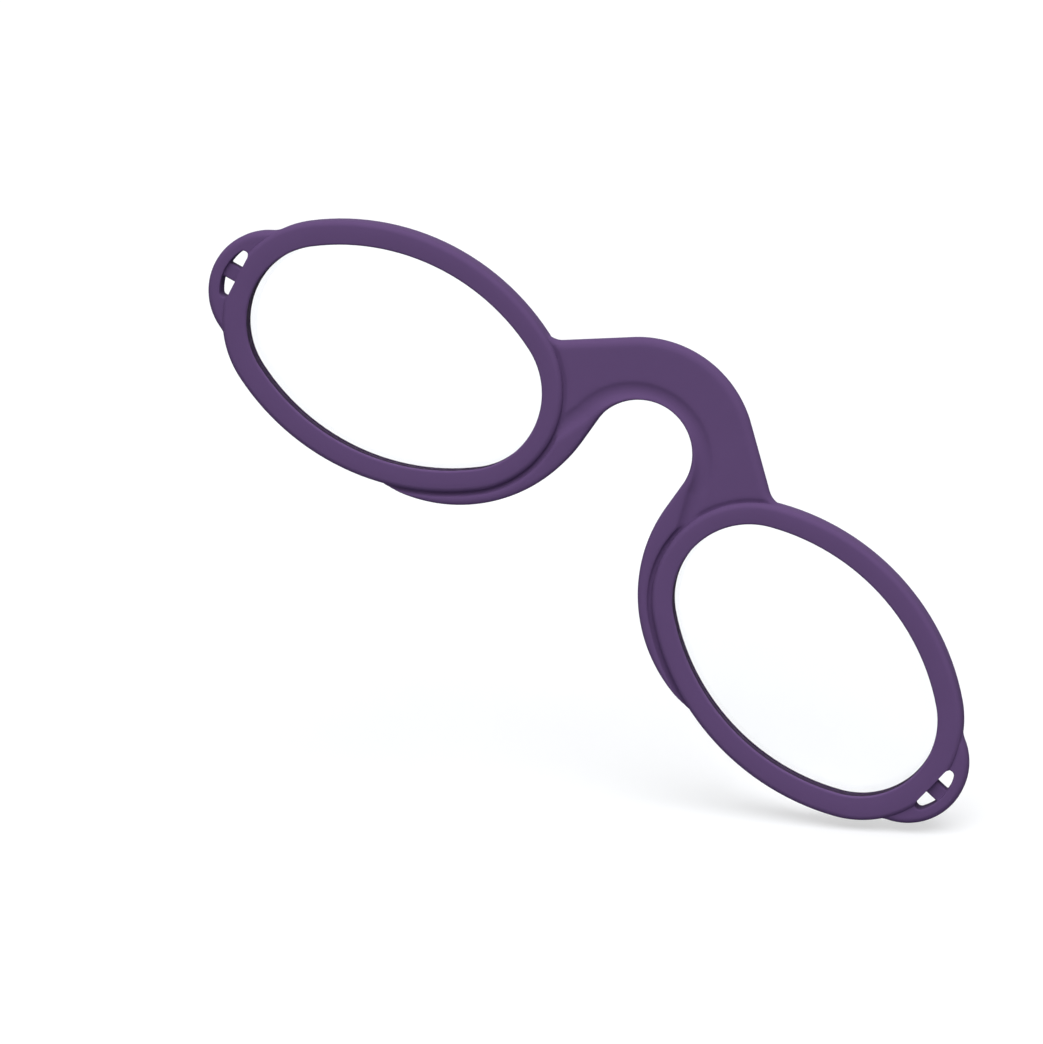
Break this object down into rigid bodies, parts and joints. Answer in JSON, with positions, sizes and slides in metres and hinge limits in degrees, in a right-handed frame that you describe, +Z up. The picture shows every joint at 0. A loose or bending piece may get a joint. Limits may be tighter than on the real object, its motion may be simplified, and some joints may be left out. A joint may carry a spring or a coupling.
{
  "type": "armless reading glasses",
  "caption": "Armless reading glasses: clear oval lenses in thick rims, joined by a springy arched bridge that grips the nose, with a small cord loop at each temple end.",
  "frame": {"origin": "middle of the underside of the bridge's crown, where the arch sits on the nose, at half the rims' thickness", "axes": "+X towards the wearer's left temple, +Y back towards the wearer's face, +Z up"},
  "size_m": [0.1154, 0.0036, 0.0389],
  "materials": {
    "frame": "soft-touch matte",
    "pad": "matte silicone",
    "lens": "clear, polished"
  },
  "bodies": {
    "bridge": {"bridge": "frame"},
    "left_eye": {"left_rim": "frame", "left_lens": "lens", "left_nose_pad": "pad"},
    "right_eye": {"right_rim": "frame", "right_lens": "lens", "right_nose_pad": "pad"}
  },
  "joints": [
    {"name": "left_eye_spread", "type": "hinge", "parent": "bridge", "child": "left_eye", "pos_m": [0, 0, 0.00385], "axis": [0, -1, 0], "range_deg": [-2, 7], "stiffness_Nm_per_rad": 0.12, "deforming": ["bridge"]},
    {"name": "right_eye_spread", "type": "hinge", "parent": "bridge", "child": "right_eye", "pos_m": [0, 0, 0.00385], "axis": [0, 1, 0], "range_deg": [-2, 7], "stiffness_Nm_per_rad": 0.12, "deforming": ["bridge"]}
  ],
  "couplings": [
    {"joint": "right_eye_spread", "follows": "left_eye_spread", "ratio": 1}
  ]
}
